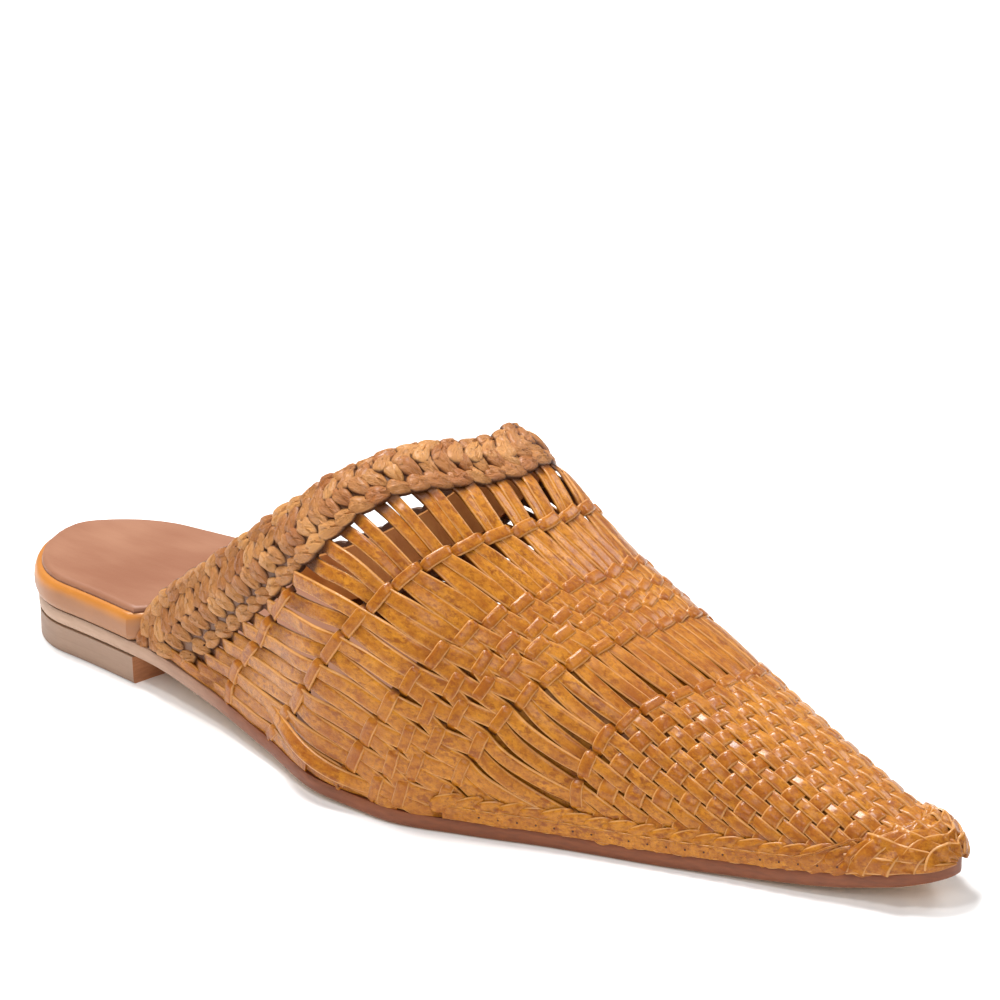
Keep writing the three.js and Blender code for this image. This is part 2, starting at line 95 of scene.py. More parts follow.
def outline(x, grow):
    """Outer and inner half width of the sole's outline at x."""
    heel = rounded_end(x + HEEL_OVERHANG + grow, HEEL_ROUNDING)
    toe = rounded_end(LENGTH - TOE_OVERHANG + grow - x, TOE_ROUNDING)
    outer = (follow(SECTIONS, SECTION_NAMES, "outer", x / LENGTH) * BALL + grow) * heel
    inner = (follow(SECTIONS, SECTION_NAMES, "inner", x / LENGTH) * BALL + grow) * heel
    return -TIP_SIDE + (outer + TIP_SIDE) * toe, TIP_SIDE + (inner - TIP_SIDE) * toe


def along_shoe(start, end, steps):
    """Places along the shoe, closer together at its rounded ends."""
    t = np.linspace(0, 1, steps)
    turn = 2 * math.pi * t
    gather = (0.72 * np.sin(turn) + 0.12 * np.sin(2 * turn)) / (2 * math.pi)
    return start + (end - start) * (t - gather)


class Cut:
    """Gathers the corners, faces and surface readings of one piece while it is cut and shaped."""

    def __init__(self):
        self.corners, self.faces, self.readings, self.depths, self.count = [], [], [], [], 0

    def rings(self, rings, reading=None, depth=None):
        """Rings of points joined into a body with filled ends."""
        rings = np.asarray(rings, float)
        steps, around = rings.shape[:2]
        start = self.count
        self.corners.append(rings.reshape(-1, 3))
        if reading is None:
            reading = np.zeros((steps, around, 3))
        self.readings.append(np.asarray(reading, float).reshape(-1, 3))
        # depth: how deep each point lies, which the finishes turn into painted shade
        if depth is None:
            depth = np.zeros(steps * around)
        self.depths.append(np.asarray(depth, float).ravel())
        self.count += steps * around
        i, j = np.meshgrid(np.arange(steps - 1), np.arange(around), indexing="ij")
        a = start + i * around + j
        b = start + i * around + (j + 1) % around
        self.faces.extend(np.stack([a, b, b + around, a + around], -1).reshape(-1, 4).tolist())
        end = start + (steps - 1) * around
        self.faces.append(list(range(start + around - 1, start - 1, -1)))
        self.faces.append(list(range(end, end + around)))

    def piece(self, name, finish, smooth_angle=50):
        """The finished piece, in metres, riding on the shoe."""
        corners = (np.concatenate(self.corners) - ORIGIN) / 1000
        mesh = bpy.data.meshes.new(name)
        mesh.from_pydata(corners.tolist(), [], self.faces)
        reading = mesh.attributes.new("reading", "FLOAT_VECTOR", "POINT")
        flat = np.concatenate(self.readings).astype(np.float32).ravel()
        reading.data.foreach_set("vector", flat)
        depth = mesh.attributes.new("depth", "FLOAT", "POINT")
        depth.data.foreach_set("value", np.concatenate(self.depths).astype(np.float32))
        mesh.materials.append(finish)
        mesh.update()
        obj = bpy.data.objects.new(name, mesh)
        bpy.context.collection.objects.link(obj)
        bpy.context.view_layer.objects.active = obj
        obj.select_set(True)
        bpy.ops.object.mode_set(mode="EDIT")
        bpy.ops.mesh.select_all(action="SELECT")
        bpy.ops.mesh.normals_make_consistent(inside=False)
        bpy.ops.object.mode_set(mode="OBJECT")
        bpy.ops.object.shade_smooth_by_angle(angle=math.radians(smooth_angle))
        obj.select_set(False)
        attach(obj, "root")
        return obj


class Dye:
    """A socket of a finish, with arithmetic."""

    def __init__(self, tree, socket=None):
        self.tree, self.socket = tree, socket

    def node(self, kind, settings=None, values=None, out=0):
        """Any other node: its settings first, then the values or links of its sockets."""
        made = self.tree.nodes.new(kind)
        for name, value in (settings or {}).items():
            setattr(made, name, value)
        for name, value in (values or {}).items():
            if isinstance(value, Dye):
                self.tree.links.new(value.socket, made.inputs[name])
            else:
                made.inputs[name].default_value = value
        return Dye(self.tree, made.outputs[out] if made.outputs else None)

    def maths(self, operation, a, b=0.0):
        return self.node("ShaderNodeMath", {"operation": operation}, {0: a, 1: b})

    def __add__(self, other):
        return self.maths("ADD", self, other)

    def __sub__(self, other):
        return self.maths("SUBTRACT", self, other)

    def __rsub__(self, other):
        return self.maths("SUBTRACT", other, self)

    def __mul__(self, other):
        return self.maths("MULTIPLY", self, other)

    def over(self, low, high):
        """0 below low, 1 above high, smooth between."""
        return self.node("ShaderNodeMapRange", {"interpolation_type": "SMOOTHSTEP"},
                         {0: self, 1: low, 2: high, 3: 0.0, 4: 1.0})

    def tint(self, first, second):
        """First colour where this is 0, second where it is 1."""
        return self.node("ShaderNodeMix", {"data_type": "RGBA"}, {0: self, 6: first, 7: second}, 2)

    def axis(self, which):
        """One coordinate of a place or direction, 0 to 2."""
        return self.node("ShaderNodeSeparateXYZ", {}, {0: self}, which)

    def stretched(self, *scale):
        """The place with its axes scaled, so that marks on it run long across the larger ones."""
        return self.node("ShaderNodeMapping", {}, {"Vector": self, "Scale": scale})

    def noise(self, place, scale, detail=3.0, roughness=0.55, distortion=0.0):
        return self.node("ShaderNodeTexNoise", {"noise_dimensions": "3D"}, {
            "Vector": place, "Scale": scale, "Detail": detail,
            "Roughness": roughness, "Distortion": distortion})


def colour(red, green, blue):
    """A colour picked on a screen, 0 to 255, as light."""
    light = [((c / 255 + 0.055) / 1.055) ** 2.4 if c > 10 else c / 3294 for c in (red, green, blue)]
    return (*light, 1.0)


def new_finish(name):
    """An empty finish: the material, its start, and its place in the shoe's frame."""
    material = bpy.data.materials.new(name)
    material.use_nodes = True
    material.node_tree.nodes.clear()
    start = Dye(material.node_tree)
    place = start.node("ShaderNodeTexCoord", out=3)
    return material, start, place


def settle(start, shade, rough, bump, coat=0.0, coat_rough=0.3, strength=0.5, depth=0.0004,
           specular=0.5):
    """Joins colour, roughness and bump to the surface."""
    normal = start.node("ShaderNodeBump", {}, {
        "Strength": strength, "Distance": depth, "Height": bump})
    surface = start.node("ShaderNodeBsdfPrincipled", {}, {
        "Base Color": shade, "Roughness": rough, "Normal": normal, "Coat Weight": coat,
        "Coat Roughness": coat_rough, "Specular IOR Level": specular})
    start.node("ShaderNodeOutputMaterial", {}, {"Surface": surface})


def heel_ring(x):
    """Section of the heel block, stretched so that the last one lies on the slanted front."""
    top = HEEL_HEIGHT - GAP
    rows = ((0.0, 0.55), (0.2, 0.2), (0.6, 0.08), (1.4, 0.0), (top, 0.0))
    ring = []
    for side, column in ((-1, rows), (1, rows[::-1])):
        for z, inset in column:
            place, y = x, 0.0
            for _ in range(3):
                half = outline(place, -HEEL_INSET)[0 if side < 0 else 1]
                edge = min(1, max(0.0, place + HEEL_OVERHANG) / HEEL_ROUNDING)
                y = side * float(half - (HEEL_TAPER * (1 - z / top) + inset) * edge)
                place = x + y * math.tan(HEEL_TURN) * max(0.0, x / BREAST) ** 3
            ring.append((place, y, z))
    return ring


heel = Cut()
heel.rings([heel_ring(float(x)) for x in along_shoe(HEEL_BACK, BREAST, 60)])
stack_finish, stack, place = new_finish("stacked_leather")
lifts = stack.node("ShaderNodeTexWave", {"bands_direction": "Z"}, {
    "Vector": place, "Scale": 120.0, "Distortion": 1.2, "Detail": 2.0, "Detail Scale": 3.0}, 1)
fibre = stack.noise(place.stretched(1, 1, 6), 260.0)
cloud = stack.noise(place, 60.0)
raw_front = stack.node("ShaderNodeNewGeometry", out=1).axis(0).over(0.75, 0.95)
taupe = (cloud * 0.5 + fibre * 0.5).tint(colour(138, 108, 88), colour(168, 138, 116))
taupe = (lifts.over(0.93, 1.0) * 0.10).tint(taupe, colour(120, 92, 74))
cut_face = fibre.tint(colour(140, 84, 50), colour(196, 134, 92))
settle(stack, raw_front.tint(taupe, cut_face), cloud * 0.15 + 0.52, fibre * 0.6 + lifts * 0.3,
       strength=0.35)
heel_piece = heel.piece("heel_block", stack_finish, 40)
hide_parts("heel_block")


# Outsole: one bend of leather from heel to toe, its edge trimmed round, pale at the heel and
# burnished reddish brown along the waist and forepart, its tread buffed matt.
SOLE_THICKNESS, SOLE_BACK, SOLE_TIP = 3.6, -0.92, LENGTH - TOE_OVERHANG - 0.08
ARCH_NAMES = ("at", "lift")
ARCH = (
    (0.00, 1.00), (0.19, 1.00), (0.28, 0.70), (0.39, 0.34), (0.50, 0.08),
    (0.57, 0.00), (0.75, 0.00), (0.82, 0.09), (0.91, 0.33), (0.96, 0.62), (1.00, 0.98),
)


def sole_bottom(x):
    """Height of the tread at x, with arch and toe spring."""
    return follow(ARCH, ARCH_NAMES, "lift", x / LENGTH) * HEEL_HEIGHT


def outsole_ring(x):
    """Section of the outsole at x, with both edges rounded."""
    outer, inner = outline(x, 0.0)
    fade = min(1, (x + HEEL_OVERHANG) / 10, (LENGTH - TOE_OVERHANG - x) / 10)
    bottom = float(sole_bottom(x))
    edge = ((0.0, 1.1), (0.25, 0.45), (0.9, 0.08), (1.8, 0.0), (2.9, 0.1), (SOLE_THICKNESS, 0.45))
    low = [(x, -(outer - inset * fade), bottom + z) for z, inset in edge]
    high = [(x, inner - inset * fade, bottom + z) for z, inset in edge]
    across = np.linspace(0, 1, 7)[1:-1]
    top = [(x, -outer + (outer + inner) * t, bottom + SOLE_THICKNESS) for t in across]
    under = [(x, inner - (outer + inner) * t, bottom) for t in across]
    return low + top + high[::-1] + under


sole = Cut()
sole.rings([outsole_ring(float(x)) for x in along_shoe(SOLE_BACK, SOLE_TIP, 130)])
sole_finish, leather, place = new_finish("sole_leather")
along = place.axis(0)
facing = leather.node("ShaderNodeNewGeometry", out=1).axis(2)
fibre = leather.noise(place.stretched(1, 1, 5), 240.0)
cloud = leather.noise(place, 45.0)
grain = leather.noise(place, 900.0, 2.0)
forward = (along + cloud * 0.03).over(-0.085, -0.02)
edge_shade = forward.tint(fibre.tint(colour(170, 136, 112), colour(198, 166, 142)),
                          fibre.tint(colour(96, 48, 24), colour(146, 80, 42)))
tread_shade = cloud.tint(colour(196, 160, 128), colour(214, 182, 150))
tread = 1 - facing.over(-0.9, -0.6)
settle(leather, tread.tint(edge_shade, tread_shade), cloud * 0.2 + 0.45,
       fibre * 0.5 + grain * 0.3, strength=0.3)
sole_piece = sole.piece("outsole", sole_finish, 45)
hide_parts("outsole")


# Footbed: board and cushion wrapped in ochre leather, a full round rim at the open heel that runs
# thinner between braid and wall towards the toe. Its lower half shows a paler, tan turn-in.
FOOTBED_THICKNESS, FOREPART_THICKNESS, RIM_OVERHANG = 7.2, 2.8, 0.8
RIM_END, BRAID_START, BRAID_END, FOOTBED_END = 0.170, 0.190, 0.25, 0.955 * LENGTH
WALL, BRAID_THICKNESS, BRAID_OUTSIDE, FOOTBED_CLEARANCE = 1.5, 4.0, 1.2, 1.3
UPPER_INSET, FOOTBED_BACK, RIM_ROUND = 1.0, -1.77, 1.9


def ease(t):
    """Smooth step from 0 to 1."""
    t = np.clip(t, 0, 1)
    return t * t * (3 - 2 * t)


def sole_top(x):
    """Height at which footbed and upper sit on the outsole."""
    return sole_bottom(x) + SOLE_THICKNESS + GAP


def footbed_edge(x):
    """How far the footbed stands out from the sole's outline."""
    at = x / LENGTH
    inside_wall = -UPPER_INSET - WALL - FOOTBED_CLEARANCE
    inside_braid = -UPPER_INSET + BRAID_OUTSIDE - BRAID_THICKNESS - FOOTBED_CLEARANCE
    behind = ease((at - RIM_END) / (BRAID_START - RIM_END))
    open_rim = RIM_OVERHANG + (inside_braid - RIM_OVERHANG) * behind
    return open_rim + (inside_wall - open_rim) * ease((at - BRAID_END) / 0.03)


def footbed_top(x):
    """Height of the footbed's face, lower in the forepart."""
    share = ease((x / LENGTH - 0.2) / 0.35)
    return sole_top(x) + FOOTBED_THICKNESS + (FOREPART_THICKNESS - FOOTBED_THICKNESS) * share


def footbed_ring(x):
    """Section of the wrapped footbed at x: full round edge, flat top under the sock."""
    out = float(footbed_edge(x))
    low, high = float(sole_top(x)), float(footbed_top(x))
    fade = min(1, (x + HEEL_OVERHANG + RIM_OVERHANG) / 8, (FOOTBED_END - x) / 8)
    rim = []
    for turn in np.linspace(-90, 90, 13):
        angle = math.radians(turn)
        z = (low + high) / 2 + (high - low) / 2 * math.sin(angle)
        rim.append((z, RIM_ROUND * (1 - math.cos(angle) ** 0.6)))
    ring = []
    for z, inset in rim:
        ring.append((x, -outline(x, out - inset * fade)[0], z))
    across = np.linspace(0, 1, 5)[1:-1]
    outer, inner = outline(x, out - RIM_ROUND * fade)
    ring += [(x, -outer + (outer + inner) * t, high) for t in across]
    for z, inset in rim[::-1]:
        ring.append((x, outline(x, out - inset * fade)[1], z))
    ring += [(x, inner - (outer + inner) * t, low) for t in across]
    return [tuple(float(c) for c in point) for point in ring]


bed = Cut()
bed_rings = [footbed_ring(float(x)) for x in along_shoe(FOOTBED_BACK, FOOTBED_END, 120)]
rim_seam_shade = np.zeros((len(bed_rings), len(bed_rings[0])))
# Points at the foot of the rim, on both sides, carry painted shade where the rim meets the sole
rim_seam_shade[:, [0, 1, -5, -4]] = 1.0
bed.rings(bed_rings, depth=rim_seam_shade)
rim_finish, rim, place = new_finish("rim_leather")
facing = rim.node("ShaderNodeNewGeometry", out=1).axis(2)
cloud = rim.noise(place, 70.0)
fine = rim.noise(place, 700.0, 4.0)
streak = rim.noise(place.stretched(1, 1, 7), 90.0)
ochre = (cloud * 0.6 + streak * 0.4).tint(colour(172, 100, 30), colour(206, 134, 46))
tan = cloud.tint(colour(146, 92, 50), colour(172, 116, 72))
turn_in = (facing + cloud * 0.2 - 0.1).over(0.0, 0.34)
seam_shade = rim.node("ShaderNodeAttribute", {"attribute_name": "depth"}, out=2)
# Painted shade: a dark line along the foot of the rim, where it meets the sole
shadow_line = seam_shade.over(0.2, 0.85) * 0.85
wrapped = shadow_line.tint(turn_in.tint(tan, ochre), colour(70, 36, 18))
settle(rim, wrapped, streak * 0.2 + 0.34, fine * 0.5 + streak * 0.5, 0.15, 0.3, strength=0.25)
bed_piece = bed.piece("footbed", rim_finish, 45)
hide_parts("footbed")


# Sock lining: thin pinkish tan leather glued on the footbed, its edge pared and laid just inside
# the rim, a shade darker where the foot has burnished it.
SOCK_THICKNESS, SOCK_INSET, SOCK_DISH = 1.2, 1.6, 0.5
SOCK_START, SOCK_END = -0.16, FOOTBED_END - SOCK_INSET


def sock_ring(x, start, end):
    """Section of the sock at x, dished a little in the middle."""
    out = float(footbed_edge(x)) - SOCK_INSET
    base = float(footbed_top(x)) + 0.02
    fade = min(1, (x - start) / 6, (end - x) / 6)
    outer, inner = outline(x, out)
    low_outer, low_inner = outline(x, out - 1.3 * fade)
    across = 0.5 - 0.5 * np.cos(np.linspace(0, math.pi, 29))
    level = base + SOCK_THICKNESS + GAP
    top = [(x, -low_outer + (low_outer + low_inner) * t,
            level - SOCK_DISH * fade * (1 - (2 * t - 1) ** 4)) for t in across]
    edge = ((0.0, 0.0), (0.12, 0.75), (0.5, SOCK_THICKNESS))
    low = [(x, -outer + inset * fade, base + z) for inset, z in edge]
    high = [(x, inner - inset * fade, base + z) for inset, z in edge[::-1]]
    return low + top + high


sock = Cut()
sock_rings = [sock_ring(float(x), SOCK_START - 0.04, SOCK_END)
              for x in along_shoe(SOCK_START, SOCK_END, 120)]
sock_edge_shade = np.zeros((len(sock_rings), len(sock_rings[0])))
# Painted shade along the sock's lower edges where it steps onto the rim, strongest on the outer
# side
sock_edge_shade[:, 0], sock_edge_shade[:, 1], sock_edge_shade[:, -1] = 1.0, 0.3, 0.5
sock.rings(sock_rings, depth=sock_edge_shade)
sock_finish, lining, place = new_finish("sock_leather")
cloud = lining.noise(place, 26.0, 2.0)
stretch = lining.noise(place.stretched(1, 3, 1), 60.0, 4.0)
pores = lining.node("ShaderNodeTexVoronoi", {"feature": "F1"}, {"Vector": place, "Scale": 1500.0})
tone = cloud * 0.7 + stretch * 0.3
pink_tan = tone.over(0.3, 0.72).tint(colour(160, 112, 84), colour(138, 86, 58))
ragged = lining.noise(place, 420.0, 4.0, 0.7)
seam_shade = lining.node("ShaderNodeAttribute", {"attribute_name": "depth"}, out=2)
# Painted shade: a ragged dark line along the sock's edge
edge_shade_line = (seam_shade + ragged * 0.8 - 0.4).over(0.55, 0.85)
pink_tan = (edge_shade_line * 0.8).tint(pink_tan, colour(104, 58, 32))
settle(lining, pink_tan, stretch * 0.2 + 0.42, pores * 0.4 + stretch * 0.6, strength=0.2,
       depth=0.0002)
sock_piece = sock.piece("sock_lining", sock_finish, 45)
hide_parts("sock_lining")


# Woven upper: long strips of golden brown leather run from the topline to the toe. In the rear half
# two twined strands wrap them by twos and hold them at each cross row; over the toes plain cross
# strips go over and under, one by one. Between the rows the strips lie free, with slits between.
THROAT, TOE_TOP_ROUNDING, LAST_OVERHANG = 84.0, 7.0, 2.4
INSTEP_FROM, INSTEP_PRESS, SECTION_STEPS = 72.0, 0.2, 96
LAST_X = np.concatenate([np.linspace(20, 250, 400), np.linspace(250.3, 266.95, 90)])
LAST_SHARE = np.linspace(0, 1, 401)


def last_rings():
    """Points of the last on a grid of places along the shoe and shares of the girth."""
    x = LAST_X[:, None]
    to_toe = LENGTH - LAST_OVERHANG - x
    toe = rounded_end(to_toe, TOE_ROUNDING)
    outer, inner, ridge, top, bend = (follow(SECTIONS, SECTION_NAMES, name, x / LENGTH)
                                      for name in ("outer", "inner", "ridge", "top", "round"))
    middle = TIP_SIDE + (ridge * BALL - TIP_SIDE) * toe
    outer = -TIP_SIDE + (outer * BALL - UPPER_INSET + TIP_SIDE) * toe + middle
    inner = TIP_SIDE + (inner * BALL - UPPER_INSET - TIP_SIDE) * toe - middle
    foot = sole_top(x)
    height = (top * THROAT - UPPER_INSET - foot) * rounded_end(to_toe, TOE_TOP_ROUNDING)
    angle = np.linspace(0, math.pi, SECTION_STEPS + 1)[None, :]
    across = np.cos(angle)
    reach = np.abs(across) ** bend
    y = np.where(across > 0, middle - reach * outer, middle + reach * inner)
    z = foot + height * np.maximum(np.sin(angle), 0) ** bend
    z = z - INSTEP_PRESS * np.maximum(z - INSTEP_FROM, 0)
    rings = np.stack([np.broadcast_to(x, y.shape), y, z], -1)
    steps = np.linalg.norm(np.diff(rings, axis=1), axis=2)
    length = np.concatenate([np.zeros((len(rings), 1)), np.cumsum(steps, 1)], 1)
    spread = np.empty((len(rings), len(LAST_SHARE), 3))
    for i, ring in enumerate(rings):
        for axis in range(3):
            spread[i, :, axis] = np.interp(LAST_SHARE * length[i, -1], length[i], ring[:, axis])
    return spread, length[:, -1]


LAST, GIRTH = last_rings()
steps_x = np.gradient(LAST, axis=0)
steps_s = np.gradient(LAST, axis=1)
LAST_OUT = np.cross(steps_s, steps_x)
LAST_OUT /= np.linalg.norm(LAST_OUT, axis=2, keepdims=True)
outward = LAST_OUT[..., 2] * (LAST[..., 2] - 8) + LAST_OUT[..., 1] * LAST[..., 1]
LAST_OUT *= np.sign(outward)[..., None]


def read_grid(grid, x, share):
    """Value of a grid on the last between its points."""
    i = np.interp(x, LAST_X, np.arange(len(LAST_X)))
    j = np.clip(share, 0, 1) * (len(LAST_SHARE) - 1)
    i0 = np.clip(i.astype(int), 0, len(LAST_X) - 2)
    j0 = np.clip(j.astype(int), 0, len(LAST_SHARE) - 2)
    u, v = (i - i0)[..., None], (j - j0)[..., None]
    return (grid[i0, j0] * (1 - u) * (1 - v) + grid[i0 + 1, j0] * u * (1 - v)
            + grid[i0, j0 + 1] * (1 - u) * v + grid[i0 + 1, j0 + 1] * u * v)


def on_last(x, share):
    """Point of the last and the outward direction there."""
    x, share = np.broadcast_arrays(np.asarray(x, float), np.asarray(share, float))
    out = read_grid(LAST_OUT, x, share)
    return read_grid(LAST, x, share), out / np.linalg.norm(out, axis=-1, keepdims=True)


ROW_NAMES = ("row", "side", "top", "bow")
ROWS = (
    (-1, 0.178, 0.497, 1.60), (0, 0.243, 0.532, 0.97), (1, 0.376, 0.574, 0.78),
    (2, 0.480, 0.627, 0.85), (6, 0.578, 0.686, 0.95), (7, 0.692, 0.762, 2.00),
    (18, 0.970, 0.974, 1.00), (19, 0.990, 0.990, 1.00),
)


def row_place(row, share):
    """Place along the shoe of a cross row at a share of the girth."""
    side, top, bow = (follow(ROWS, ROW_NAMES, name, row) for name in ("side", "top", "bow"))
    climb = np.maximum(np.sin(math.pi * np.clip(share, 0, 1) ** 1.2), 0) ** bow
    return (side + (top - side) * climb) * LENGTH


def row_at(x, share):
    """The row that runs through a place, whole numbers on the rows of the table."""
    low, high = np.full(np.shape(x), -2.0), np.full(np.shape(x), 19.0)
    for _ in range(22):
        middle = (low + high) / 2
        before = row_place(middle, share) < x
        low, high = np.where(before, middle, low), np.where(before, high, middle)
    return (low + high) / 2


STRIPS, STRIP_THICKNESS, WRAP_THICKNESS, WEAVE_DEPTH = 46, 0.85, 0.7, 0.46
weave_luck = np.random.default_rng(11)

# Pitch of the long strips as a share of the girth: they fan out over the toes and meet at the tip
PITCH_NAMES = ("row", "share")
PITCH = (
    (-2.0, 0.0217), (2.0, 0.0217), (3.0, 0.0220), (4.5, 0.02285), (5.9, 0.02355), (6.85, 0.0281),
    (7.5, 0.0304), (9.0, 0.0357), (10.0, 0.040), (11.5, 0.0469), (13.0, 0.0556), (14.0, 0.063),
    (15.0, 0.0735), (16.0, 0.087), (17.0, 0.1066), (18.0, 0.148), (19.0, 0.2),
)
# How far each twined row draws the strips together by twos, even pairs above 0, odd pairs below
DRAW_NAMES = ("row", "middle", "side")
DRAW = (
    (-1.0, -0.12, -0.05), (0.3, -0.18, 0.06), (1.0, -0.215, -0.10), (1.35, -0.06, 0.0),
    (1.75, 0.09, 0.05), (2.0, 0.13, 0.11), (3.33, -0.11, -0.11), (4.67, 0.11, 0.11),
    (6.0, -0.10, -0.10), (6.5, 0.02, 0.03), (6.9, 0.14, 0.13), (7.4, 0.0, 0.0), (19.0, 0.0, 0.0),
)
# Width of the long strips in mm: broad between braid and toes, narrower over the toes
WIDTH_NAMES = ("row", "middle", "side")
STRIP_WIDTHS = (
    (-1.0, 2.9, 3.7), (0.9, 2.95, 3.9), (1.4, 3.7, 4.1), (2.0, 4.0, 4.2), (6.0, 4.0, 4.2),
    (6.5, 3.35, 3.6), (7.4, 2.9, 3.1), (12.0, 2.95, 3.1), (19.0, 3.0, 3.0),
)
ROW_GRID = row_at(LAST_X[:, None], LAST_SHARE[None, :])[..., None]


def row_near(x, share):
    """The row through a place, read from the grid."""
    return read_grid(ROW_GRID, np.asarray(x, float), np.asarray(share, float))[..., 0]


def strip_share(k, row):
    """Girth share of the middle of long strip k, drawn into pairs by the twined rows."""
    k = np.asarray(k, float)
    outward = np.minimum(k, STRIPS - 1 - k)
    side = ease((13 - outward) / 8)
    even = np.where(np.mod(np.floor(k), 2) == 0, 1.0, -1.0)
    drawn = ease((16 - outward) / 8)
    draw = (follow(DRAW, DRAW_NAMES, "side", row) * drawn
            + follow(DRAW, DRAW_NAMES, "middle", row) * (1 - drawn))
    lean = (1 - 1.5 * side) * np.clip(1 - row, 0, 1.3) * np.where(k < 29, 1, -1)
    slip = -0.8 * side * np.clip(row - 1, 0, 1) * np.where(k < 23, 1, -1)
    from_middle = k - (STRIPS - 1) / 2 + even * draw + lean + slip
    return 0.5 + from_middle * follow(PITCH, PITCH_NAMES, "share", row)


# The rows that are twined: two strands wrap the strips by twos and change places between them
SIDE_ROW_NAMES = ("share", "x")
SIDE_ROW = (
    (0.00, 84.0), (0.03, 85.0), (0.077, 89.0), (0.123, 96.0), (0.173, 102.0), (0.223, 110.0),
    (0.26, 114.0),
)
TWINED = (
    # row, even or odd pairs, slant in mm, width
    (0.0, 0, 1.2, 2.9), (1.0, 1, 1.3, 3.1), (2.0, 0, 1.7, 3.1), (3.33, 1, 2.2, 3.0),
    (4.67, 0, 2.2, 3.0), (6.0, 1, 1.5, 3.0), (6.95, 0, 1.3, 3.0),
)
UNDER_WRAP, BESIDE_WRAP = -0.28, 0.14
# The rows over the toes, where one cross strip goes over and under the long ones
PLAIN, TIP_ROW = (7.55, 8.15, 8.8, 9.5, 10.25, 11.1, 12.05, 13.05, 14.1, 15.2, 16.3, 17.4), 18.4


def twined_place(row, share):
    """Place along the shoe of a twined row; row 0 runs only along the sides."""
    if row > 0:
        return row_place(row, share)
    near = np.minimum(share, 1 - share)
    x = follow(SIDE_ROW, SIDE_ROW_NAMES, "x", np.minimum(near, 0.26))
    return np.where(near < 0.25, x, np.nan)


def smooth_between(place, knots, values):
    """Values at the knots, joined by smooth steps."""
    i = np.clip(np.searchsorted(knots, place) - 1, 0, len(knots) - 2)
    t = ease((place - knots[i]) / (knots[i + 1] - knots[i]))
    return values[i] * (1 - t) + values[i + 1] * t


def ribbon(cut, x, share, lift, width, thickness, reading, roll=0.0, crown=0.1, tuck_shade=0.0,
           surface=None):
    """A leather strip along a path on the last, flat, with pared and slightly turned edges."""
    point, out = (surface or on_last)(x, share)
    run = np.gradient(point, axis=0)
    run /= np.linalg.norm(run, axis=1, keepdims=True)
    side = np.cross(out, run)
    side /= np.linalg.norm(side, axis=1, keepdims=True)
    up = np.cross(run, side)
    roll = np.broadcast_to(roll, len(point))[:, None]
    side, up = side * np.cos(roll) + up * np.sin(roll), up * np.cos(roll) - side * np.sin(roll)
    width = np.broadcast_to(width, len(point))
    profile = ((-0.5, -0.25), (-0.49, 0.2), (-0.43, 0.46), (-0.2, 0.42), (0.2, 0.42), (0.43, 0.46),
               (0.49, 0.2), (0.5, -0.25), (0.0, -0.5))
    ring, read, shade_depth = [], [], []
    for across, high in profile:
        arch = crown * (1 - (2 * across) ** 2)
        rise = lift + high * thickness + arch - crown
        ring.append(point + side * (across * width)[:, None] + up * rise[:, None])
        read.append(np.stack([reading[0], np.full(len(point), across * 2), reading[1]], -1))
        # Painted shade: darker the lower the strip lies, on its underside, and by tuck_shade
        shade_depth.append(np.clip(0.32 - lift * 0.62 + (0.46 - high) * 0.5 + tuck_shade, 0, 1))
    cut.rings(np.stack(ring, 1), np.stack(read, 1), np.stack(shade_depth, 1))


def strip_heights(k, row):
    """Height of long strip k: under the twined rows, over and under the plain ones."""
    knots, heights = [-3.0, -0.35, 0.0, 0.35], [-2.2, -1.8, -1.1, -0.02]
    side = min(k, STRIPS - 1 - k) < 11
    for at, odd, _, _ in TWINED:
        if at == 0:
            if side:
                knots[3:4], heights[3:4] = [0.12, 0.36, 0.6], [-0.1, -0.26, -0.02]
            continue
        gap = 0.30 if at in (2.0, 3.33, 4.67, 6.0) else 0.22
        knots += [at - gap * 1.25, at, at + gap * (0.35 if at == 6.95 else 1.25)]
        heights += [BESIDE_WRAP, UNDER_WRAP, BESIDE_WRAP]
    for n, at in enumerate(PLAIN):
        knots.append(at)
        heights.append(WEAVE_DEPTH * (1 if (k + n) % 2 else -1))
    knots.append(19.5)
    heights.append(0.0)
    order = np.argsort(knots)
    return smooth_between(row, np.array(knots)[order], np.array(heights)[order])


